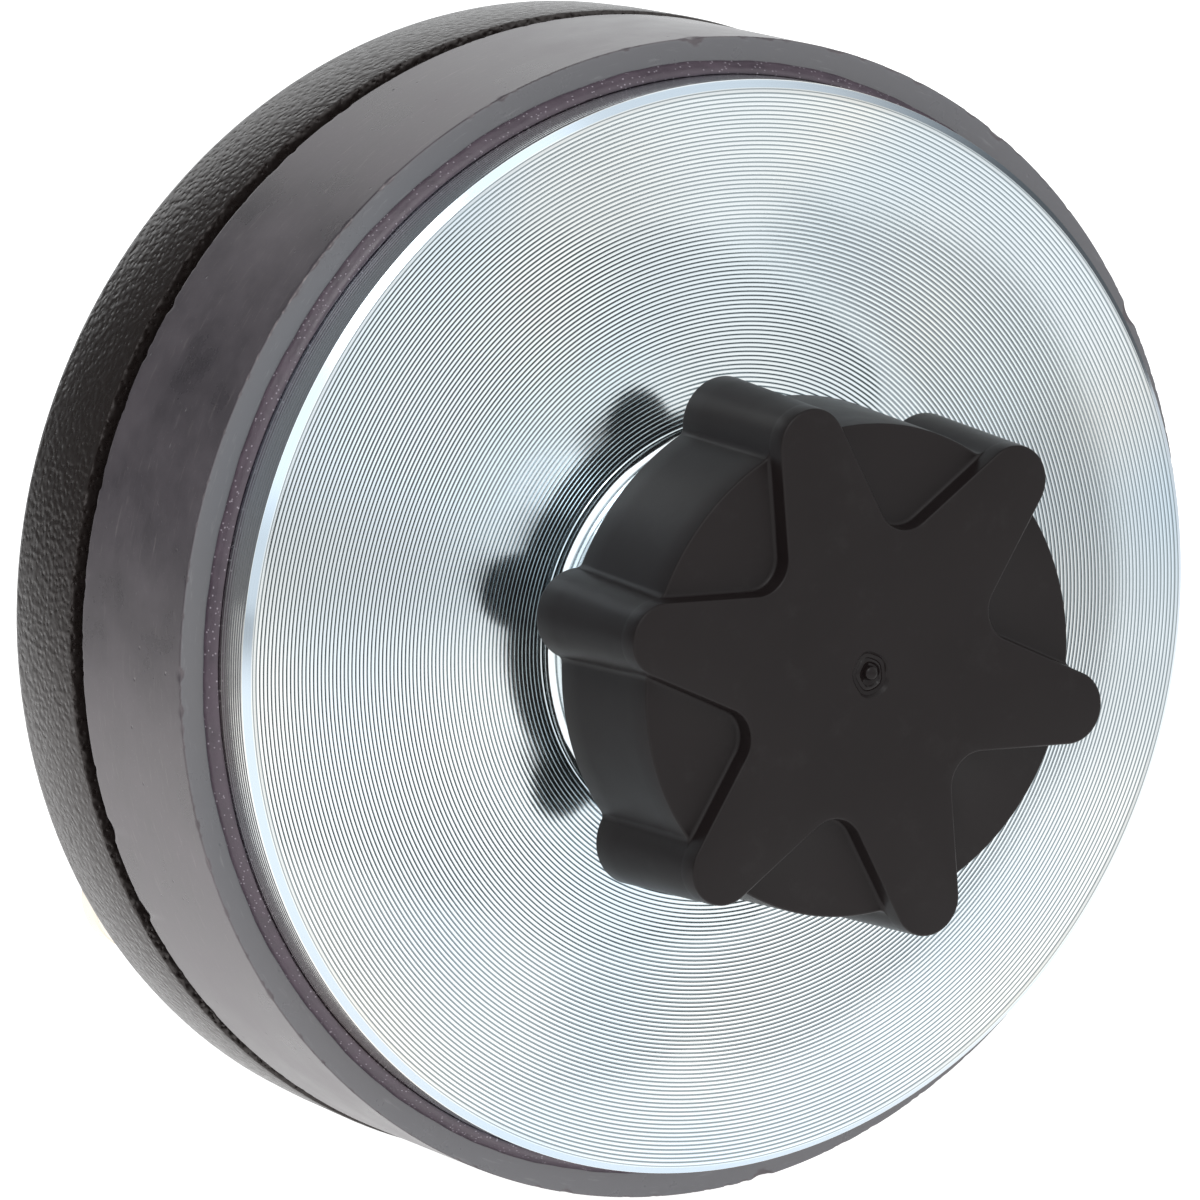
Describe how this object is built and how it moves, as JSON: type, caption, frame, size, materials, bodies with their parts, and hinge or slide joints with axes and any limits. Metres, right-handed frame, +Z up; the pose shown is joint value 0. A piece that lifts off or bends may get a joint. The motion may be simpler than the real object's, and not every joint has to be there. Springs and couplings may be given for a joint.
{
  "type": "screw-on horn compression driver",
  "caption": "Screw-on compression driver for a horn loudspeaker, with ring magnet, threaded throat, rear cover, push terminals and a star-grip thread cap.",
  "frame": {"origin": "on the driver's axis, in the plane of the back plate's front face, where a horn seats on the thread", "axes": "+Z up, +Y along the driver's axis towards the rear cover, so the throat and cap face -Y; +X to the right of a viewer who faces the cap"},
  "size_m": [0.1004, 0.0721, 0.1004],
  "materials": {
    "zinc_steel": "zinc-plated turned steel with fine concentric grooves",
    "steel": "plain machined steel",
    "ferrite": "ground dark grey ceramic ferrite",
    "adhesive": "dark violet-black cured adhesive",
    "cap_plastic": "smooth semi-matte black moulded plastic",
    "cover_plastic": "fine leather-grained black moulded plastic",
    "ring_plastic": "satin black moulded plastic",
    "foam": "open-cell foam",
    "rubber": "matte rubber",
    "titanium": "thin formed titanium foil",
    "film": "amber polyimide film",
    "aluminium": "satin aluminium",
    "copper": "bright copper",
    "terminal_metal": "satin pale-gold nickel plating",
    "black_steel": "blackened steel",
    "red_plastic": "glossy red plastic",
    "black_plastic": "glossy black plastic"
  },
  "bodies": {
    "driver": {"back_plate": "zinc_steel", "throat_snout": "zinc_steel", "front_adhesive": "adhesive", "magnet_ring": "ferrite", "rear_adhesive": "adhesive", "top_plate": "steel", "pole_sleeve": "copper", "phase_plug": "ring_plastic", "surround": "film", "diaphragm_ring": "aluminium", "clamp_ring": "ring_plastic", "locating_pin_1": "steel", "locating_pin_2": "steel", "ring_screw_1": "steel", "ring_screw_2": "steel", "ring_screw_3": "steel", "ring_screw_4": "steel", "throat_screen": "steel", "screen_ring": "black_steel", "rear_cover": "cover_plastic", "cover_gasket": "rubber", "damping_foam": "foam", "cover_screw_1": "black_steel", "cover_screw_2": "black_steel", "cover_screw_3": "black_steel", "cover_screw_4": "black_steel", "left_terminal_base": "black_plastic", "left_terminal_barrel": "terminal_metal", "left_terminal_spring": "steel", "left_terminal_nut": "steel", "left_solder_tab": "terminal_metal", "left_lead_tab": "terminal_metal", "left_lead_wire": "red_plastic", "right_terminal_base": "black_plastic", "right_terminal_barrel": "terminal_metal", "right_terminal_spring": "steel", "right_terminal_nut": "steel", "right_solder_tab": "terminal_metal", "right_lead_tab": "terminal_metal", "right_lead_wire": "black_plastic"},
    "cap_seal": {"cap_liner": "foam"},
    "cap": {"thread_cap": "cap_plastic"},
    "diaphragm": {"diaphragm_dome": "titanium", "coil_former": "film", "voice_coil": "copper"},
    "left_button": {"left_terminal_button": "red_plastic"},
    "right_button": {"right_terminal_button": "black_plastic"}
  },
  "joints": [
    {"name": "cap_lift", "type": "slide", "parent": "driver", "child": "cap_seal", "axis": [0, -1, 0], "range_m": [0, 0.00776]},
    {"name": "cap_turn", "type": "hinge", "parent": "cap_seal", "child": "cap", "pos_m": [0, 0, 0], "axis": [0, -1, 0], "range_deg": [0, 1980]},
    {"name": "diaphragm_travel", "type": "slide", "parent": "driver", "child": "diaphragm", "axis": [0, 1, 0], "range_m": [-0.0004, 0.0004], "stiffness_N_per_m": 300, "deforming": ["surround"]},
    {"name": "left_button_press", "type": "slide", "parent": "driver", "child": "left_button", "axis": [0, -1, 0], "range_m": [0, 0.0024], "stiffness_N_per_m": 150, "springref_m": -0.001, "deforming": ["left_terminal_spring"]},
    {"name": "right_button_press", "type": "slide", "parent": "driver", "child": "right_button", "axis": [0, -1, 0], "range_m": [0, 0.0024], "stiffness_N_per_m": 150, "springref_m": -0.001, "deforming": ["right_terminal_spring"]}
  ],
  "couplings": [
    {"joint": "cap_turn", "follows": "cap_lift", "rad_per_m": 4452.7}
  ]
}
